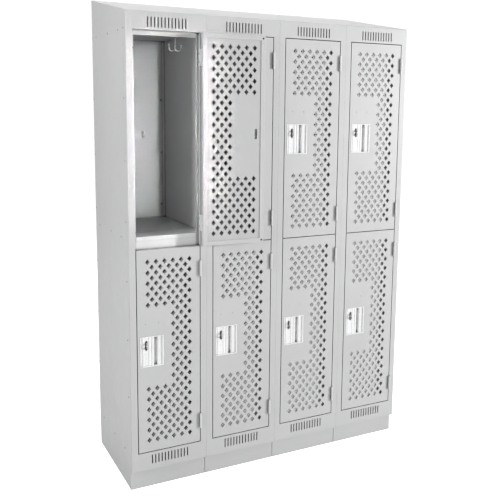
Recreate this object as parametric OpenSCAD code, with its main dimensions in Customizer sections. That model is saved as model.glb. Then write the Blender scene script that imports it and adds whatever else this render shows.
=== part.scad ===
// Bank of perforated steel lockers: four columns of two compartments, each column
// with its own face frame, closed base and sloped hood. The double-skinned doors
// hang on five-knuckle hinges at their right-hand edge. The upper door of the first
// column stands open, folded back in front of its neighbour.
//
// Frame: +Z up, +X to the right, the doors face -Y. The origin is the bottom centre
// of the whole cabinet's box, open door included. All lengths are in millimetres.

/* [Cabinet] */
// Width of one locker column
column_w = 304.8; // [300:0.1:340]
// Number of columns side by side
columns = 4; // [2:1:4]
// Depth behind the front face
cabinet_d = 457.2; // [430:0.1:540]
// Height of the front face above the floor
front_h = 1778; // [1700:1:1850]
// Rise of the sloped hood from its front edge to its back
hood_rise = 89; // [60:1:130]
// How far the hood's skirt hangs below the front face's top edge
hood_skirt = 38; // [30:1:45]
// Height of the closed base
base_h = 76; // [70:1:100]
// How far the base stands back from the front face
base_setback = 18; // [10:1:30]
// Thickness of the body sheets
sheet = 1.2; // [1:0.1:1.4]

/* [Face frame] */
// Width of each post in front view
post_w = 25; // [22:0.5:28]
// Height of the header above the upper door
header_h = 62; // [58:1:70]
// Height of the sill below the lower door
sill_h = 70; // [64:1:80]
// Thickness of the face frame's sheet
frame_sheet = 1.5; // [1.2:0.1:1.6]
// Depth of the returns that line the door opening
jamb_d = 22; // [21:0.5:23]
// Width of the stop lip behind the door
stop_w = 9; // [7:0.5:10]
// Height of the stop lip below the header
header_stop_h = 18; // [10:0.5:20]
// Number of vent slots in each header and sill
vents = 12; // [4:1:13]
// Height of a vent slot
vent_h = 35; // [20:1:36]

/* [Doors] */
// Gap round each door
door_gap = 3; // [2.2:0.1:3]
// Depth of a door pan
door_d = 19; // [18:0.5:19.5]
// Thickness of the door sheet
door_sheet = 1.5; // [1.2:0.1:1.6]
// Width of the lip turned in at the back of the pan
hem_w = 16; // [12:1:18]
// Angle at which the first column's upper door stands
rest_angle = 178; // [170:1:178]

/* [Perforation] */
// Rows of diamond holes in a door
hole_rows = 35; // [25:2:37]
// Distance between rows
row_pitch = 20.3; // [18:0.1:20.5]
// Distance between holes in a row
hole_pitch = 32.9; // [30:0.1:34]
// Width of a diamond
hole_w = 17.5; // [10:0.5:18]
// Height of a diamond
hole_h = 21; // [12:0.5:22]

/* [Handle cup] */
// Width of the recessed handle cup
cup_w = 88; // [86:1:94]
// Height of the recessed handle cup
cup_h = 114; // [108:1:130]
// Distance from the door's free edge to the cup
cup_inset = 12; // [11:0.5:16]
// Width of the slot that the padlock eye comes through
eye_slot_w = 10; // [9:0.5:12]
// Height of the slot that the padlock eye comes through
eye_slot_h = 37; // [34:1:40]

/* [Hinges] */
// Height of a hinge
hinge_h = 60; // [50:1:70]
// Outer radius of a knuckle
knuckle_r = 4; // [3.6:0.1:4]
// Radius of the hinge pin
pin_r = 2; // [1.5:0.1:2.2]
// Distance from a door's end to the middle of its nearer hinge
hinge_inset = 86; // [70:1:120]

/* [Hidden] */
$fn = 32;

cabinet_w = columns * column_w;

// Door opening of one column, measured from the column's left edge
opening_x0 = post_w;
opening_x1 = column_w - post_w;
opening_z0 = base_h + sill_h;
opening_z1 = front_h - header_h;
middle_z = (opening_z0 + opening_z1) / 2;

door_w = opening_x1 - opening_x0 - 2 * door_gap;
door_h = (opening_z1 - opening_z0 - 3 * door_gap) / 2;
door_z = [opening_z0 + door_gap, middle_z + door_gap / 2];

// Vent slots: distance above the opening and below it
vent_rise = 9;
vent_drop = 12;

// The hinge pin stands in front of the face so that a door can fold flat
pin_stand = 4.5;
pin_x = opening_x1 - door_gap / 2;
pin_clearance = 0.05;
knuckles = 5;
knuckle_gap = 0.3;
knuckle_len = hinge_h / knuckles;
leaf_t = 1;
leaf_d = 15;
leaf_start = knuckle_r + 0.5;
screw_r = 2.9;
screw_spacing = 30;

// The cabinet is set back so that the box of the whole object, open door included,
// is centred on the origin
open_reach = (door_d + pin_stand) * cos(180 - rest_angle)
    + (door_w + door_gap / 2) * sin(180 - rest_angle) + pin_stand;
front_y = (open_reach - cabinet_d) / 2;

// Body sheets
side_top = front_h - hood_skirt;
ceiling_z = opening_z1 + 8;
shelf_top = middle_z + 45;
shelf_apron = 60;
back_inset = 1.4;
return_w = 20;
joint_gap = 0.2;
interior_y0 = jamb_d + joint_gap;
interior_y1 = cabinet_d - 4.4;

// Door parts
liner_y = 16.2;
liner_t = 1;
liner_edge = 1.8;
lock_rows = [9, 23];
lock_holes_skipped = 3;
cup_z0 = door_h / 2 - cup_h / 2 + 4;
eye_u = cup_inset + 23;
eye_z = door_h / 2 + 27;
cup_rim = 2;
cup_proud = 0.8;
cup_t = 1.2;
plate_hole_r = 1.6;
plate_hole_start = 19;
plate_hole_spacing = 51;
plate_hole_rise = 51;

// Padlock eye
eye_t = 3;
eye_r = 12;
eye_hole_r = 4.75;
eye_centre_y = 3.5;
eye_hole_y = -1.5;
arm_t = 2.5;

// Coat hook
wire_r = 2.4;
prong_r = 12;
hook_drop = 56;
hook_x = 222;
hook_y = 105;
ball_r = 4.2;

// Rivets that show on the outside
rivet_r = 3.4;
rivet_h = 1;
rivet_rows = 6;
rivet_pitch = 222;
rivet_z0 = 368;
shelf_bolt_y = [91, 229, 394];

steel = [0.82, 0.83, 0.84];
steel_inner = [0.76, 0.77, 0.79];
cup_white = [0.93, 0.94, 0.95];
zinc = [0.62, 0.63, 0.65];
chrome = [0.85, 0.86, 0.88];
rubber = [0.15, 0.15, 0.16];

TIERS = ["lower", "upper"];
DOOR_PIECES = ["skin", "liner", "handle_cup", "hinge_leaves"];
COLUMN_PIECES = ["face_frame", "hood", "base"];
SHARED = [
    "side_panel_left", "side_panel_right", "back_panels", "floor_panels",
    "middle_shelves", "ceiling_panels", "hinge_frame_leaves", "hinge_pins",
    "hinge_screws", "padlock_eyes", "door_bumpers", "coat_hooks", "panel_rivets"
];
NODES = concat(
    [for (c = [1:columns], t = TIERS, p = DOOR_PIECES) str(t, "_door_", c, "_", p)],
    [for (c = [1:columns], p = COLUMN_PIECES) str(p, "_", c)],
    [for (c = [1:columns - 1]) str("partition_", c)],
    SHARED
);
node = "all";

function wanted(name) = node == "all" || node == name;
function is_open(c, t) = c == 0 && t == 1;
function angle_of(c, t) = is_open(c, t) ? rest_angle : 0;

// ---------- placing ----------

// Column c's own frame: x from its left edge, y from the front face, z from the floor
module at_column(c) {
    translate([c * column_w - cabinet_w / 2, front_y, 0]) children();
}

// Hinge axis of door t in column c, at the door's lower end and turned with the door
module at_hinge(c, t, angle) {
    at_column(c) translate([pin_x, -pin_stand, door_z[t]]) rotate([0, 0, angle]) children();
}

// Door's own frame: x from its free edge, y from its outer face, z from its lower end
module at_door(c, t) {
    at_hinge(c, t, angle_of(c, t)) translate([-door_gap / 2 - door_w, pin_stand, 0]) children();
}

module each_column() {
    for (c = [0:columns - 1]) at_column(c) children();
}

module each_hinge(follow_door, c, t) {
    at_hinge(c, t, follow_door ? angle_of(c, t) : 0)
        for (z = [hinge_inset, door_h - hinge_inset]) translate([0, 0, z - hinge_h / 2]) children();
}

// ---------- shapes ----------

// A drawing in X and Z, thickened backwards from y
module upright(y, t) {
    translate([0, y + t, 0]) rotate([90, 0, 0]) linear_extrude(t) children();
}

// A drawing in Y and Z, thickened to the right from x
module side_on(x, t) {
    translate([x, 0, 0]) rotate([90, 0, 90]) linear_extrude(t) children();
}

module rect(x0, z0, x1, z1) {
    translate([x0, z0]) square([x1 - x0, z1 - z0]);
}

// A rectangular ring between a rectangle grown by out and the same shrunk by in
module ring(x0, z0, x1, z1, out, in) {
    difference() {
        rect(x0 - out, z0 - out, x1 + out, z1 + out);
        rect(x0 + in, z0 + in, x1 - in, z1 - in);
    }
}

module block(x0, y0, z0, x1, y1, z1) {
    translate([x0, y0, z0]) cube([x1 - x0, y1 - y0, z1 - z0]);
}

// ---------- perforated sheets ----------

function in_lock(r) = r >= lock_rows[0] && r <= lock_rows[1];

// Hole centres, row 0 at the top: six and five holes in turn, fewer beside the cup
hole_centres = [
    for (r = [0:hole_rows - 1])
        let (n = 6 - r % 2)
            for (i = [in_lock(r) ? lock_holes_skipped : 0:n - 1])
                [
                    door_w / 2 + (i - (n - 1) / 2) * hole_pitch,
                    door_h / 2 + ((hole_rows - 1) / 2 - r) * row_pitch
                ]
];
diamond = [[0, -hole_h / 2], [hole_w / 2, 0], [0, hole_h / 2], [-hole_w / 2, 0]];

// One outline with a diamond at each hole centre and any further four-sided cut-outs
module perforated(outline, cutouts) {
    loops = concat([outline], cutouts, [for (c = hole_centres) [for (d = diamond) c + d]]);
    polygon(
        points = [for (loop = loops, p = loop) p],
        paths = [for (i = [0:len(loops) - 1]) [for (k = [0:3]) 4 * i + k]]
    );
}

function corners(x0, z0, x1, z1) = [[x0, z0], [x1, z0], [x1, z1], [x0, z1]];

// ---------- doors ----------

// Outer pan: perforated face, four edge returns and a lip turned in at the back
module door_skin() {
    color(steel) difference() {
        union() {
            upright(0, door_sheet)
                perforated(
                    corners(0, 0, door_w, door_h),
                    [corners(cup_inset, cup_z0, cup_inset + cup_w, cup_z0 + cup_h)]
                );
            upright(0, door_d) ring(0, 0, door_w, door_h, 0, door_sheet);
            upright(door_d - door_sheet, door_sheet) ring(0, 0, door_w, door_h, 0, hem_w);
        }
        // Two holes for a number plate above the cup
        for (x = [0, plate_hole_spacing])
            translate([cup_inset + plate_hole_start + x, -1, cup_z0 + cup_h + plate_hole_rise])
                rotate([-90, 0, 0]) cylinder(r = plate_hole_r, h = door_sheet + 2, $fn = 16);
    }
}

// Inner liner: a perforated sheet held in front of the pan's lip
module door_liner() {
    color(steel_inner) upright(liner_y, liner_t)
        perforated(
            corners(liner_edge, liner_edge, door_w - liner_edge, door_h - liner_edge),
            [corners(
                eye_u - eye_slot_w / 2, eye_z - eye_slot_h / 2,
                eye_u + eye_slot_w / 2, eye_z + eye_slot_h / 2
            )]
        );
}

// Front surface of the cup in plan: a fluted plate, then a deep finger groove and a
// shallow pad beside it
cup_front = [
    [0, -cup_proud], [2, 4], [6, 4], [7.5, 2.8], [13.5, 2.8], [15, 4], [31, 4],
    [32.5, 2.8], [38.5, 2.8], [40, 4], [43, 4], [44.5, 2.8], [50.5, 2.8], [52, 4],
    [52.8, 4], [53.8, 13.5], [63, 13.5], [65.8, 5], [68.5, 3.2], [cup_w - 3, 2.6],
    [cup_w - 2, -cup_proud]
];
cup_body = [
    [0.3, -cup_proud], [0.3, 4 + cup_t], [51.5, 4 + cup_t], [52.5, 13.5 + cup_t],
    [64.3, 13.5 + cup_t], [67.1, 5 + cup_t], [69.5, 3.2 + cup_t],
    [cup_w - 0.3, 2.6 + cup_t], [cup_w - 0.3, -cup_proud]
];

module handle_cup() {
    color(cup_white) translate([cup_inset, 0, cup_z0]) difference() {
        union() {
            block(
                -cup_rim, -cup_proud, -cup_rim,
                cup_w + cup_rim, 0, cup_h + cup_rim
            );
            translate([0, 0, 0.3]) linear_extrude(cup_h - 0.6) polygon(cup_body);
        }
        // The hollow, open to the front
        translate([0, 0, 0.3 + cup_t]) linear_extrude(cup_h - 0.6 - 2 * cup_t)
            polygon(concat([[0, -2]], cup_front, [[cup_w - 2, -2]]));
        translate([eye_u - cup_inset, 0, eye_z - cup_z0]) eye_slot();
    }
}

module eye_slot() {
    straight = eye_slot_h - eye_slot_w;
    upright(-2, 10) {
        translate([-eye_slot_w / 2, -straight / 2]) square([eye_slot_w, straight]);
        for (z = [-1, 1]) translate([0, z * straight / 2]) circle(eye_slot_w / 2);
    }
}

// ---------- hinges ----------

// One barrel with the tab that joins it to its leaf at x
module knuckle(k, x) {
    z = k * knuckle_len + knuckle_gap / 2;
    difference() {
        union() {
            translate([0, 0, z]) cylinder(r = knuckle_r, h = knuckle_len - knuckle_gap);
            block(x, 0, z, x + leaf_t, leaf_start + 0.5, z + knuckle_len - knuckle_gap);
        }
        translate([0, 0, z - 1]) cylinder(r = pin_r + pin_clearance, h = knuckle_len + 2);
    }
}

module screw_places() {
    for (z = [-1, 1])
        translate([0, leaf_start + leaf_d / 2, hinge_h / 2 + z * screw_spacing / 2])
            rotate([0, 90, 0]) children();
}

module leaf(x, first, screws) {
    difference() {
        block(x, leaf_start, 0, x + leaf_t, leaf_start + leaf_d, hinge_h);
        if (screws) translate([x - 1, 0, 0]) screw_places()
            cylinder(r = screw_r + 0.1, h = leaf_t + 2);
    }
    for (k = [first:2:knuckles - 1]) knuckle(k, x);
}

module door_hinge_leaves(c, t) {
    color(steel) each_hinge(true, c, t) leaf(-door_gap / 2, 1, false);
}

module every_hinge() {
    for (c = [0:columns - 1], t = [0, 1]) each_hinge(false, c, t) children();
}

module hinge_frame_leaves() {
    color(steel) every_hinge() leaf(door_gap / 2 - leaf_t, 0, true);
}

module hinge_pins() {
    head_h = 1.2;
    color(zinc) every_hinge() {
        translate([0, 0, -head_h]) cylinder(r = pin_r, h = hinge_h + 2 * head_h);
        translate([0, 0, hinge_h]) cylinder(r = pin_r + 1, h = head_h);
    }
}

module hinge_screws() {
    color(zinc) every_hinge() translate([door_gap / 2 - leaf_t, 0, 0]) screw_places()
        cylinder(r = screw_r, h = leaf_t);
}

// ---------- front of the body ----------

module vent_slots(z0) {
    pitch = 13;
    slot_w = 4.5;
    for (i = [0:vents - 1])
        translate([column_w / 2 + (i - (vents - 1) / 2) * pitch - slot_w / 2, z0])
            square([slot_w, vent_h]);
}

module face_frame() {
    edge = 0.15;
    channel_x = 2;
    channel_d = 25;
    flange_d = 12;
    flange_x = channel_x + frame_sheet + joint_gap;
    behind = frame_sheet + joint_gap;
    color(steel) {
        // Face with its door opening and vents
        upright(0, frame_sheet) difference() {
            rect(edge, base_h, column_w - edge, front_h);
            rect(opening_x0, opening_z0, opening_x1, opening_z1);
            vent_slots(opening_z1 + vent_rise);
            vent_slots(opening_z0 - vent_drop - vent_h);
        }
        // Returns that line the opening, and the stop lip behind the doors
        upright(behind, jamb_d - behind)
            ring(opening_x0, opening_z0, opening_x1, opening_z1, frame_sheet, 0);
        upright(jamb_d - frame_sheet, frame_sheet) {
            ring(opening_x0, opening_z0, opening_x1, opening_z1, frame_sheet, stop_w);
            rect(opening_x0, opening_z1 - header_stop_h, opening_x1, opening_z1);
        }
        // Strips welded behind the face: one beside each body sheet and one at the top
        for (x = [channel_x, column_w - channel_x - frame_sheet])
            block(x, behind, base_h, x + frame_sheet, channel_d, front_h);
        block(flange_x, behind, front_h - frame_sheet, column_w - flange_x, flange_d, front_h);
    }
}

// ---------- body sheets ----------

// Side sheet with the strips welded inside its back and bottom edges, for the
// cabinet's left end
module side_sheet() {
    bottom_strip_y0 = 30;
    x0 = sheet + joint_gap;
    back_y = cabinet_d - sheet;
    side_on(0, sheet) rect(frame_sheet + joint_gap, base_h, cabinet_d, side_top);
    block(x0, back_y, base_h, return_w, cabinet_d, side_top);
    block(x0, bottom_strip_y0, base_h, return_w, back_y - joint_gap, base_h + sheet);
}

module side_panel_left() {
    color(steel) at_column(0) side_sheet();
}

module side_panel_right() {
    color(steel) at_column(columns) mirror([1, 0, 0]) side_sheet();
}

module partition(c) {
    inset = 3;
    z0 = base_h + 1.6;
    strip_y0 = cabinet_d - inset - sheet;
    color(steel_inner) at_column(c) {
        side_on(-sheet / 2, sheet) rect(inset, z0, strip_y0 - joint_gap, side_top);
        block(-return_w / 2, strip_y0, z0, return_w / 2, cabinet_d - inset, side_top);
    }
}

module back_panels() {
    color(steel) each_column()
        upright(cabinet_d - back_inset - sheet, sheet)
            rect(back_inset, base_h + back_inset, column_w - back_inset, side_top);
}

// A level sheet with its front edge turned down by lip
module level_sheet(top, lip) {
    x0 = 3.8;
    block(x0, interior_y0, top - sheet, column_w - x0, interior_y1, top);
    block(x0, interior_y0, top - lip, column_w - x0, interior_y0 + sheet, top);
}

module floor_panels() {
    color(steel_inner) each_column() level_sheet(opening_z0 - 1, 14);
}

module ceiling_panels() {
    color(steel_inner) each_column() level_sheet(ceiling_z, 8);
}

// Shelf between the two compartments: its apron closes the gap behind the doors and a
// folded hem stiffens its upper edge
module middle_shelves() {
    hem_x = post_w + stop_w + 1;
    color(steel_inner) each_column() {
        level_sheet(shelf_top, shelf_apron);
        block(hem_x, interior_y0 - 1.5, shelf_top - 15, column_w - hem_x, interior_y0 + 0.1,
            shelf_top);
    }
}

// Sloped hood over one column: a wedge of sheet with a skirt at the sides and back
module hood() {
    x0 = 0.2;
    x1 = column_w - 0.2;
    back_z = front_h + hood_rise;
    skirt_y = frame_sheet + joint_gap;
    top_line = [[0, front_h], [cabinet_d, back_z - sheet]];
    color(steel) {
        side_on(x0, x1 - x0)
            polygon([top_line[0], top_line[1], [cabinet_d, back_z], [0, front_h + sheet]]);
        for (x = [x0, x1 - sheet])
            side_on(x, sheet)
                polygon([
                    [skirt_y, side_top + joint_gap], [cabinet_d, side_top + joint_gap],
                    [cabinet_d, back_z - sheet / 2], [skirt_y, front_h + sheet / 2]
                ]);
        block(x0, cabinet_d - sheet, side_top + joint_gap, x1, cabinet_d, back_z - sheet / 2);
    }
}

// Closed base under one column, with a flange to stand on and one to carry the body
module base() {
    side = 1;
    back = 1;
    foot_w = 25;
    seat_w = 15;
    outer = [column_w - 2 * side, cabinet_d - base_setback - back];
    color(steel) translate([side, base_setback, 0]) {
        linear_extrude(base_h) difference() {
            square(outer);
            translate([frame_sheet, frame_sheet])
                square(outer - 2 * frame_sheet * [1, 1]);
        }
        for (f = [[0, foot_w], [base_h - frame_sheet, seat_w]])
            translate([0, 0, f[0]]) linear_extrude(frame_sheet) difference() {
                square(outer);
                translate(f[1] * [1, 1]) square(outer - 2 * f[1] * [1, 1]);
            }
    }
}

// ---------- small fittings ----------

// Bracket on the strike post: its arm runs behind the door and its eye plate comes
// forward through the liner and the cup, so that a padlock can hold the door
module padlock_eye() {
    x = opening_x0 + door_gap + eye_u;
    difference() {
        union() {
            upright(jamb_d, arm_t) rect(opening_x0 - 0.5, -eye_r, x + eye_t / 2, eye_r);
            side_on(x - eye_t / 2, eye_t) {
                rect(eye_centre_y, -eye_r, jamb_d + arm_t, eye_r);
                translate([eye_centre_y, 0]) circle(eye_r);
            }
        }
        translate([x - eye_t, eye_hole_y, 0]) rotate([0, 90, 0])
            cylinder(r = eye_hole_r, h = 2 * eye_t);
    }
}

module padlock_eyes() {
    color(zinc) each_column() for (t = [0, 1]) translate([0, 0, door_z[t] + eye_z]) padlock_eye();
}

// Rubber pads on the stop lip, two for each door
module door_bumpers() {
    pad_t = 1.3;
    color(rubber) each_column() for (t = [0, 1], z = [60, door_h - 60])
        translate([opening_x0 + stop_w / 2, jamb_d - frame_sheet - pad_t, door_z[t] + z])
            rotate([-90, 0, 0]) cylinder(r = stop_w / 2 - 0.6, h = pad_t);
}

// Double-prong coat hook that hangs from the sheet above
module coat_hook() {
    translate([-20, -9, -2]) cube([40, 18, 2]);
    translate([0, 0, -hook_drop]) cylinder(r = wire_r, h = hook_drop);
    translate([0, 0, -hook_drop]) sphere(wire_r);
    for (s = [-1, 1])
        translate([s * prong_r, 0, -hook_drop]) {
            rotate([90, 0, 0]) rotate([0, 0, 180])
                rotate_extrude(angle = 180) translate([prong_r, 0]) circle(wire_r);
            translate([s * prong_r, 0, 0]) cylinder(r = wire_r, h = 8);
            translate([s * prong_r, 0, 8 + wire_r]) sphere(ball_r);
        }
}

module coat_hooks() {
    color(chrome) each_column() for (z = [ceiling_z - sheet, shelf_top - sheet])
        translate([hook_x, hook_y, z]) coat_hook();
}

module rivet() {
    cylinder(r1 = rivet_r, r2 = rivet_r - 1, h = rivet_h);
}

// Rivet heads on one end of the cabinet, in the frame of the side sheet
module side_rivets() {
    rotate([0, -90, 0]) {
        for (i = [0:rivet_rows - 1], y = [28, cabinet_d - 10])
            translate([rivet_z0 + i * rivet_pitch, y, 0]) rivet();
        for (z = [opening_z0 - 8, shelf_top - 6, ceiling_z - 6], y = shelf_bolt_y)
            translate([z, y, 0]) rivet();
        for (y = [28, cabinet_d - 10]) translate([side_top - 20, y, 0]) rivet();
    }
}

// Rivet heads that hold one back panel, seen from behind
module back_rivets() {
    for (i = [0:rivet_rows - 1], x = [28, column_w - 28])
        translate([x, cabinet_d - back_inset, rivet_z0 + i * rivet_pitch])
            rotate([-90, 0, 0]) rivet();
}

module panel_rivets() {
    color(zinc) {
        at_column(0) side_rivets();
        at_column(columns) mirror([1, 0, 0]) side_rivets();
        each_column() back_rivets();
    }
}

// ---------- assembly ----------

for (c = [0:columns - 1], t = [0, 1]) {
    door = str(TIERS[t], "_door_", c + 1, "_");
    if (wanted(str(door, "skin"))) at_door(c, t) door_skin();
    if (wanted(str(door, "liner"))) at_door(c, t) door_liner();
    if (wanted(str(door, "handle_cup"))) at_door(c, t) handle_cup();
    if (wanted(str(door, "hinge_leaves"))) door_hinge_leaves(c, t);
}
for (c = [0:columns - 1]) {
    if (wanted(str("face_frame_", c + 1))) at_column(c) face_frame();
    if (wanted(str("hood_", c + 1))) at_column(c) hood();
    if (wanted(str("base_", c + 1))) at_column(c) base();
}
for (c = [1:columns - 1]) if (wanted(str("partition_", c))) partition(c);
if (wanted("side_panel_left")) side_panel_left();
if (wanted("side_panel_right")) side_panel_right();
if (wanted("back_panels")) back_panels();
if (wanted("floor_panels")) floor_panels();
if (wanted("middle_shelves")) middle_shelves();
if (wanted("ceiling_panels")) ceiling_panels();
if (wanted("hinge_frame_leaves")) hinge_frame_leaves();
if (wanted("hinge_pins")) hinge_pins();
if (wanted("hinge_screws")) hinge_screws();
if (wanted("padlock_eyes")) padlock_eyes();
if (wanted("door_bumpers")) door_bumpers();
if (wanted("coat_hooks")) coat_hooks();
if (wanted("panel_rivets")) panel_rivets();
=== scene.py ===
import math

import bmesh
import bpy
from mathutils import Matrix, Vector


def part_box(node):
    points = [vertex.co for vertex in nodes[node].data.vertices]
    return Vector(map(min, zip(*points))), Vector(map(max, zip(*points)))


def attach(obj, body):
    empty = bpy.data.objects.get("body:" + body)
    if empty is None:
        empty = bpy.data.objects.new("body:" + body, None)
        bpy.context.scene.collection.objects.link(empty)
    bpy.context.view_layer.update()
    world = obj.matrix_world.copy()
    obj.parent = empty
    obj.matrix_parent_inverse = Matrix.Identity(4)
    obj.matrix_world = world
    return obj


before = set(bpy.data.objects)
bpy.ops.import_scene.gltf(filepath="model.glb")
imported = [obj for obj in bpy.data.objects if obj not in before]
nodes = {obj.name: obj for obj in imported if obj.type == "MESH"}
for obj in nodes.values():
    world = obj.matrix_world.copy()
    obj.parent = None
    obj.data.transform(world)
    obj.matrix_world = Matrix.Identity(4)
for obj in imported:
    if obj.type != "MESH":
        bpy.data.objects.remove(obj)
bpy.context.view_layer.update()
scene = bpy.context.scene

COLUMNS = range(1, 5)
TIERS = ("lower", "upper")
OPEN_DOOR = "upper_door_1"


# ---------- node materials ----------

class Shader:
    """A material under construction: short calls that add a node and return its output."""

    def __init__(self, name):
        self.material = bpy.data.materials.new(name)
        self.material.use_nodes = True
        self.tree = self.material.node_tree
        self.tree.nodes.clear()
        self.bsdf = self.tree.nodes.new("ShaderNodeBsdfPrincipled")
        self.surface = self.tree.nodes.new("ShaderNodeOutputMaterial").inputs["Surface"]
        self.feed(self.surface, self.bsdf.outputs[0])
        self.place = self.add("ShaderNodeTexCoord").outputs["Object"]

    def add(self, kind, **inputs):
        node = self.tree.nodes.new(kind)
        for key, value in inputs.items():
            self.feed(node.inputs[key], value)
        return node

    def feed(self, socket, value):
        if isinstance(value, bpy.types.NodeSocket):
            self.tree.links.new(value, socket)
        else:
            socket.default_value = value

    def noise(self, scale, detail=2.0, roughness=0.5, stretch=None):
        place = self.place
        if stretch:
            place = self.add("ShaderNodeMapping", Vector=place, Scale=stretch).outputs[0]
        node = self.add("ShaderNodeTexNoise", Vector=place, Scale=scale, Detail=detail,
                        Roughness=roughness)
        return node.outputs["Fac"]

    def ramp(self, value, low, high, to_low=0.0, to_high=1.0):
        node = self.add("ShaderNodeMapRange", Value=value)
        for i, number in enumerate((low, high, to_low, to_high), 1):
            node.inputs[i].default_value = number
        return node.outputs[0]

    def math(self, operation, a, b):
        node = self.tree.nodes.new("ShaderNodeMath")
        node.operation = operation
        self.feed(node.inputs[0], a)
        self.feed(node.inputs[1], b)
        return node.outputs[0]

    def mix(self, factor, a, b):
        node = self.tree.nodes.new("ShaderNodeMix")
        node.data_type = "RGBA"
        self.feed(node.inputs["Factor"], factor)
        self.feed(node.inputs["A"], a)
        self.feed(node.inputs["B"], b)
        return node.outputs["Result"]

    def rounded(self, radius):
        """The normal that the surface would have with its edges rounded by radius."""
        node = self.add("ShaderNodeBevel", Radius=radius)
        node.samples = 4
        return node.outputs[0]

    def edge(self, radius):
        """1 on a sharp outer or inner edge, falling to 0 at radius from it."""
        dot = self.tree.nodes.new("ShaderNodeVectorMath")
        dot.operation = "DOT_PRODUCT"
        self.feed(dot.inputs[0], self.rounded(radius))
        self.feed(dot.inputs[1], self.add("ShaderNodeNewGeometry").outputs["Normal"])
        return self.ramp(dot.outputs["Value"], 0.995, 0.80)

    def shade_in_gaps(self, reach, shut, clear):
        """Mask for painted shade in gaps: 0 deep in a gap narrower than reach, rising to 1 on
        open faces. shut and clear are the openness at which it gets to 0 and to 1."""
        node = self.add("ShaderNodeAmbientOcclusion", Distance=reach)
        node.samples = 6
        return self.ramp(node.outputs["AO"], shut, clear)

    def bump(self, radius, *layers):
        """layers are (height, metres of relief), one on the other, over edges rounded by
        radius."""
        normal = self.rounded(radius)
        for height, relief in layers:
            normal = self.add("ShaderNodeBump", Height=height, Strength=1.0, Distance=relief,
                              Normal=normal).outputs[0]
        self.feed(self.bsdf.inputs["Normal"], normal)

    def set(self, **inputs):
        for key, value in inputs.items():
            self.feed(self.bsdf.inputs[key.replace("_", " ")], value)


NEUTRAL = (1.0, 1.0, 1.0)
COOL = (0.995, 1.0, 1.005)


def colour(tint, level=1.0):
    return tuple(level * part for part in tint) + (1.0,)


# Painted shade: the colour painted deep in a narrow gap, and each kind of gap's reach, shut
# and clear for it
GAP_SHADE_COLOUR = colour(NEUTRAL, 0.03)
SHEET_GAP_SHADE = (0.012, 0.37, 0.76)
DOOR_HOLE_SHADE = (0.022, 0.44, 0.86)
CUP_GAP_SHADE = (0.016, 0.20, 0.50)
PALEST_COAT = 0.9
SHEET_BEND, PLATING_BEND = 0.0012, 0.0006
PAINT_IOR = 1.5


def powder_coat(name, level, gap_shade=SHEET_GAP_SHADE):
    """Baked powder coat on sheet steel: fine orange peel, faint cloudiness and paler worn
    edges. level is its grey. Its last argument sets the painted shade that darkens it in
    narrow gaps, or is None for a coat without that painted shade."""
    def shade(factor):
        return colour(COOL, min(level * factor, PALEST_COAT))

    s = Shader(name)
    clouds = s.ramp(s.noise(3.0, 3.0), 0.3, 0.7)
    speckle = s.ramp(s.noise(1400.0, 1.0), 0.35, 0.65, 0.0, 0.10)
    scuffs = s.ramp(s.noise(38.0, 5.0, 0.7, stretch=(1, 1, 0.25)), 0.62, 0.78)
    worn = s.math("MULTIPLY", s.edge(0.0016), s.ramp(s.noise(60.0, 4.0), 0.40, 0.62))
    base = s.mix(clouds, shade(0.965), shade(1.02))
    base = s.mix(speckle, base, shade(0.80))
    base = s.mix(s.math("MULTIPLY", scuffs, 0.10), base, shade(0.88))
    base = s.mix(s.math("MULTIPLY", worn, 0.55), base, shade(1.22))
    if gap_shade:
        # Painted shade: the coat's colour darkens deep in narrow gaps and inner corners
        base = s.mix(s.shade_in_gaps(*gap_shade), GAP_SHADE_COLOUR, base)
    rough = s.ramp(s.noise(24.0, 4.0), 0.3, 0.7, 0.36, 0.46)
    rough = s.math("ADD", rough, s.math("MULTIPLY", scuffs, 0.08))
    s.set(Base_Color=base, Roughness=rough, IOR=PAINT_IOR)
    s.bump(SHEET_BEND, (s.noise(420.0, 2.0), 0.00006), (s.noise(1500.0, 1.0), 0.00002))
    return s.material


def cup_finish():
    """Smooth moulded handle cup: nearly white, semi-gloss, with faint flow marks."""
    s = Shader("cup_finish_moulded")
    flow = s.ramp(s.noise(26.0, 3.0, stretch=(1, 1, 0.3)), 0.3, 0.7)
    grime = s.math("MULTIPLY", s.ramp(s.noise(180.0, 4.0), 0.5, 0.75), 0.12)
    base = s.mix(flow, colour((0.72, 0.725, 0.73)), colour((0.78, 0.785, 0.79)))
    base = s.mix(grime, base, colour(NEUTRAL, 0.46))
    # Painted shade: the cup's colour darkens deep in its recess and groove
    base = s.mix(s.shade_in_gaps(*CUP_GAP_SHADE), GAP_SHADE_COLOUR, base)
    rough = s.ramp(s.noise(90.0, 3.0), 0.3, 0.7, 0.24, 0.34)
    s.set(Base_Color=base, Roughness=rough, IOR=PAINT_IOR)
    s.bump(SHEET_BEND, (s.noise(700.0, 1.0), 0.00002))
    return s.material


def metal(name, low, high, rough, grain, relief):
    """Plated metal whose colour varies from low to high with a fine grain of this scale and
    relief. Its edges are brighter, and rough is the range of its roughness."""
    s = Shader(name)
    grains = s.noise(grain, 3.0, 0.6)
    base = s.mix(s.ramp(grains, 0.3, 0.7), colour(low), colour(high))
    base = s.mix(s.math("MULTIPLY", s.edge(0.0008), 0.6), base, colour(high, 1.25))
    s.set(Base_Color=base, Metallic=1.0,
          Roughness=s.ramp(s.noise(grain * 0.4, 3.0), 0.3, 0.7, *rough))
    s.bump(PLATING_BEND, (grains, relief))
    return s.material


def rubber():
    """Matt black rubber with a slightly dusty, uneven face."""
    s = Shader("bumper_rubber")
    dust = s.ramp(s.noise(300.0, 3.0), 0.3, 0.7)
    s.set(Base_Color=s.mix(dust, colour((0.016, 0.016, 0.017)), colour((0.035, 0.034, 0.033))),
          Roughness=s.ramp(s.noise(200.0, 3.0), 0.3, 0.7, 0.55, 0.75))
    s.bump(PLATING_BEND, (s.noise(900.0, 2.0), 0.00004))
    return s.material


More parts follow.
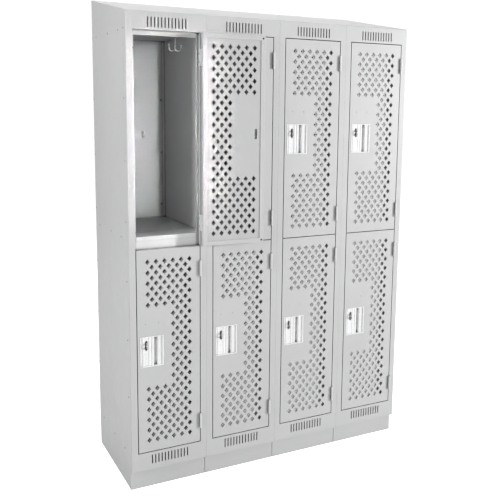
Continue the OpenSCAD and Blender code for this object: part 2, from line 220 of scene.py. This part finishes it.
OUTSIDE = 0.48
looks = {
    "powder_coat": powder_coat("powder_coat_outer", OUTSIDE),
    "powder_coat_inner": powder_coat("powder_coat_inside", 0.70),
    "cup_finish": cup_finish(),
    "zinc_plate": metal("zinc_plate_satin", (0.40, 0.40, 0.40), (0.54, 0.54, 0.545),
                        rough=(0.42, 0.58), grain=500.0, relief=0.00002),
    "chrome_plate": metal("chrome_polished", (0.50, 0.50, 0.51), (0.68, 0.68, 0.69),
                          rough=(0.16, 0.28), grain=300.0, relief=0.00001),
    # Painted shade: rivet heads are painted near black so they read as dark dots
    "rivet_paint": powder_coat("rivet_head_paint", 0.13),
    "black_rubber": rubber(),
}
# Nodes that are painted unlike the rest of their slot: by the end of the name, then by name
paints = {
    # The door skin's coat gets painted shade deep in its perforations
    "_skin": powder_coat("powder_coat_door", OUTSIDE, DOOR_HOLE_SHADE),
    "_liner": powder_coat("powder_coat_liner", 0.66, None),
    # Painted light: the hinge leaves are painted lighter than the outer coat
    "_leaves": powder_coat("powder_coat_hinge", 0.60, None),
}
own_looks = {name: paint for name in nodes for end, paint in paints.items()
             if name.endswith(end)}
base_paint = powder_coat("powder_coat_base", OUTSIDE, None)
own_looks.update({f"base_{c}": base_paint for c in COLUMNS})
own_looks.update({
    # Painted light: the first partition is painted lighter than the other inside faces
    "partition_1": powder_coat("powder_coat_partition_painted_light", 0.78),
    # Painted shade: the open door's liner is painted darker than the other liners
    "upper_door_1_liner": powder_coat("powder_coat_open_liner_painted_shade", 0.44, None),
    # Painted shade: the first lower door's liner is painted darker still, seen through its
    # holes
    "lower_door_1_liner": powder_coat("powder_coat_lower_liner_painted_shade", 0.34, None),
    "hinge_screws": metal("screw_black_zinc", (0.05, 0.05, 0.05), (0.11, 0.11, 0.11),
                          rough=(0.35, 0.55), grain=500.0, relief=0.00002),
})
for name, obj in nodes.items():
    for slot in obj.material_slots:
        slot.material = own_looks.get(name) or looks[slot.material.name.split(".")[0]]


# ---------- small fittings ----------

SIDES = 20
FRONTWARD, BACKWARD, LEFTWARD = (0, -1, 0), (0, 1, 0), (-1, 0, 0)


def turned(name, profile, at, axis, slot, body, look=None):
    """A small turned part: profile gives (radius, height) pairs from its foot to its crown,
    which points along axis. Its material is look, or else the one of its slot."""
    mesh = bmesh.new()
    turns = [2 * math.pi * i / SIDES for i in range(SIDES)]
    rings = [[mesh.verts.new((radius * math.cos(a), radius * math.sin(a), height))
              for a in turns] for radius, height in profile]
    for low, high in zip(rings, rings[1:]):
        for i in range(SIDES):
            j = (i + 1) % SIDES
            mesh.faces.new((low[i], low[j], high[j], high[i]))
    mesh.faces.new(rings[0])
    mesh.faces.new(rings[-1])
    bmesh.ops.recalc_face_normals(mesh, faces=mesh.faces)
    data = bpy.data.meshes.new(name)
    mesh.to_mesh(data)
    mesh.free()
    for face in data.polygons:
        face.use_smooth = len(face.vertices) == 4
    data.materials.append(look or looks[slot])
    obj = bpy.data.objects.new(name, data)
    obj.location = at
    obj.rotation_euler = Vector(axis).to_track_quat("Z", "Y").to_euler()
    scene.collection.objects.link(obj)
    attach(obj, body)


def door_ends(door, inset):
    """The two heights that lie inset from the lower and the upper end of a door."""
    low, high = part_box(f"{door}_skin")
    return low.z + inset, high.z - inset


# Heads of the rivets that hold the back, in two upright rows in each compartment. The rows'
# insets are from the column's right-hand edge.
HEAD = [(0.0042, -0.0002), (0.0042, 0.0004), (0.0036, 0.0013), (0.0022, 0.0019),
        (0.0008, 0.0021)]
RIVETS, FIRST_RIVET, RIVET_PITCH = 6, 0.368, 0.222
ROW_INSETS = (0.017, 0.288)
back_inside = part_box("back_panels")[0].y
for c in COLUMNS:
    right_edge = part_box(f"face_frame_{c}")[1].x
    for i in range(RIVETS):
        for k, inset in enumerate(ROW_INSETS):
            at = (right_edge - inset, back_inside, FIRST_RIVET + RIVET_PITCH * i)
            turned(f"inside_rivet_{c}_{i}_{k}", HEAD, at, FRONTWARD, "rivet_paint", "cabinet")

# Rubber buttons on the turned-in lip at each door's free edge. The open door is folded back,
# so its free edge is on the right and its lip faces forward.
BUTTON = [(0.0034, -0.0003), (0.0034, 0.0005), (0.0029, 0.0009), (0.0012, 0.0010)]
BUTTON_INSET, BUTTON_FROM_END, BUTTON_SINK = 0.008, 0.009, 0.0003
for door in (f"{tier}_door_{c}" for c in COLUMNS for tier in TIERS):
    low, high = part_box(f"{door}_skin")
    if door == OPEN_DOOR:
        x, y, axis = high.x - BUTTON_INSET, low.y + BUTTON_SINK, FRONTWARD
    else:
        x, y, axis = low.x + BUTTON_INSET, high.y, BACKWARD
    for k, z in enumerate(door_ends(door, BUTTON_FROM_END)):
        turned(f"{door}_button_{k}", BUTTON, (x, y, z), axis, "black_rubber", door)

# Flat heads of the screws that fix each hinge's leaf to its jamb. A face frame stops short of
# its column's edge by FRAME_INSET.
SCREW = [(0.0043, -0.0001), (0.0043, 0.0001), (0.0038, 0.0003), (0.0012, 0.0003),
         (0.0010, -0.0001)]
FRAME_INSET, POST, LEAF, LEAF_DEPTH = 0.00015, 0.025, 0.001, 0.015
HINGE_INSET, SCREW_SPACING = 0.086, 0.030
for c in COLUMNS:
    front_corner, right_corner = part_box(f"face_frame_{c}")
    x = right_corner.x + FRAME_INSET - POST - LEAF
    y = front_corner.y + LEAF_DEPTH / 2
    for tier in TIERS:
        for k, z in enumerate(door_ends(f"{tier}_door_{c}", HINGE_INSET)):
            for m in (-1, 1):
                turned(f"{tier}_hinge_{c}_{k}_screw_{m + 1}", SCREW,
                       (x, y, z + m * SCREW_SPACING / 2), LEFTWARD, "zinc_plate", "cabinet",
                       own_looks["hinge_screws"])


# ---------- floor, light, camera ----------

FLOOR_ROUGHNESS = 0.9


def plane(name, low, high, z, material):
    mesh = bpy.data.meshes.new(name)
    mesh.from_pydata([(low[0], low[1], z), (high[0], low[1], z), (high[0], high[1], z),
                      (low[0], high[1], z)], [], [(0, 1, 2, 3)])
    mesh.materials.append(material)
    obj = bpy.data.objects.new(name, mesh)
    scene.collection.objects.link(obj)


def floor_paint(glow):
    """A plain pale sheet that looks as bright as the backdrop: the camera sees it glow, and
    the cabinet only gets the light that falls on it."""
    s = Shader("studio_floor_paint")
    s.set(Base_Color=colour(NEUTRAL, 0.55), Roughness=FLOOR_ROUGHNESS)
    both = s.add("ShaderNodeAddShader")
    s.feed(both.inputs[0], s.bsdf.outputs[0])
    s.feed(both.inputs[1], s.add("ShaderNodeEmission", Strength=glow).outputs[0])
    pick = s.add("ShaderNodeMixShader",
                 Fac=s.add("ShaderNodeLightPath").outputs["Is Camera Ray"])
    s.feed(pick.inputs[1], s.bsdf.outputs[0])
    s.feed(pick.inputs[2], both.outputs[0])
    s.feed(s.surface, pick.outputs[0])
    return s.material


def shaded_floor():
    """The floor's darker paint under the cabinet, which doesn't glow through its hollows."""
    s = Shader("floor_in_shade")
    s.set(Base_Color=s.mix(s.noise(30.0, 3.0), colour(NEUTRAL, 0.10), colour(NEUTRAL, 0.14)),
          Roughness=FLOOR_ROUGHNESS)
    return s.material


FLOOR_REACH, FLOOR_Z, SHADED_Z, SHADED_INSET = 30.0, -0.0012, -0.0006, 0.002
plane("studio_floor", (-FLOOR_REACH, -FLOOR_REACH), (FLOOR_REACH, FLOOR_REACH), FLOOR_Z,
      floor_paint(glow=0.95))
base_low, base_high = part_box("base_1")[0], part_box("base_4")[1]
plane("floor_under_cabinet", (base_low.x + SHADED_INSET, base_low.y + SHADED_INSET),
      (base_high.x - SHADED_INSET, base_high.y - SHADED_INSET), SHADED_Z, shaded_floor())

# A white world that the camera sees brighter than it lights the cabinet
WORLD_SEEN, WORLD_LIGHT = 1.05, 0.17
world = bpy.data.worlds.new("studio")
world.use_nodes = True
tree = world.node_tree
background = tree.nodes["Background"]
background.inputs["Color"].default_value = colour(NEUTRAL)
level = tree.nodes.new("ShaderNodeMapRange")
level.inputs["To Min"].default_value = WORLD_LIGHT
level.inputs["To Max"].default_value = WORLD_SEEN
seen = tree.nodes.new("ShaderNodeLightPath").outputs["Is Camera Ray"]
tree.links.new(seen, level.inputs["Value"])
tree.links.new(level.outputs[0], background.inputs["Strength"])
scene.world = world


def area_light(name, at, towards, size, watts):
    light = bpy.data.lights.new(name, "AREA")
    light.shape = "RECTANGLE"
    light.size, light.size_y = size
    light.energy = watts
    obj = bpy.data.objects.new(name, light)
    obj.location = at
    obj.rotation_euler = (Vector(towards) - Vector(at)).to_track_quat("-Z", "Y").to_euler()
    obj.visible_camera = False
    scene.collection.objects.link(obj)
    return light


area_light("key_right", at=(7.2, -4.5, 1.8), towards=(0.0, -0.2, 0.9), size=(0.6, 1.2),
           watts=800)
area_light("front_soft", at=(0.15, -3.9, 1.35), towards=(-0.2, -0.2, 1.1), size=(1.0, 1.0),
           watts=27)
area_light("left_soft", at=(-3.3, -0.72, 1.9), towards=(-0.6, 0.0, 1.3), size=(1.9, 1.8),
           watts=86)
area_light("top_soft", at=(0.0, 0.3, 4.2), towards=(0.0, 0.0, 0.0), size=(3.0, 2.0), watts=120)
area_light("back_soft", at=(0.5, 4.6, 1.9), towards=(0.3, 0.3, 0.9), size=(1.6, 1.8), watts=75)
# A narrow soft beam into the open compartment
beam = area_light("opening_beam", at=(-0.47, -3.9, 1.36), towards=(-0.44, 0.0, 1.36),
                  size=(0.36, 0.68), watts=0.54)
beam.spread = math.radians(3.5)

# Camera: solved from the cabinet's own corners. EYE is its place from the foot of the front
# face's left-hand edge, and FOCAL is in widths of the sensor.
SENSOR, FOCAL, SHIFT = 36.0, 1.40974, 0.08
YAW, PITCH, ROLL = (math.radians(angle) for angle in (26.64, -8.11, 0.51))
EYE = (-0.72876, -2.42573, 1.44129)
left_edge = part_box("side_panel_left")[0].x
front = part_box("face_frame_1")[0].y
forward = Vector((math.sin(YAW) * math.cos(PITCH), math.cos(YAW) * math.cos(PITCH),
                  math.sin(PITCH)))
right = Vector((math.cos(YAW), -math.sin(YAW), 0.0))
up = right.cross(forward)
right, up = (right * math.cos(ROLL) + up * math.sin(ROLL),
             up * math.cos(ROLL) - right * math.sin(ROLL))
lens = bpy.data.cameras.new("camera")
lens.sensor_width = SENSOR
lens.lens = FOCAL * SENSOR
lens.shift_y = -SHIFT
camera = bpy.data.objects.new("camera", lens)
turn = Matrix((right, up, -forward)).transposed()
camera.matrix_world = (Matrix.Translation((left_edge + EYE[0], front + EYE[1], EYE[2]))
                       @ turn.to_4x4())
scene.collection.objects.link(camera)
scene.camera = camera
scene.view_settings.view_transform = "Standard"
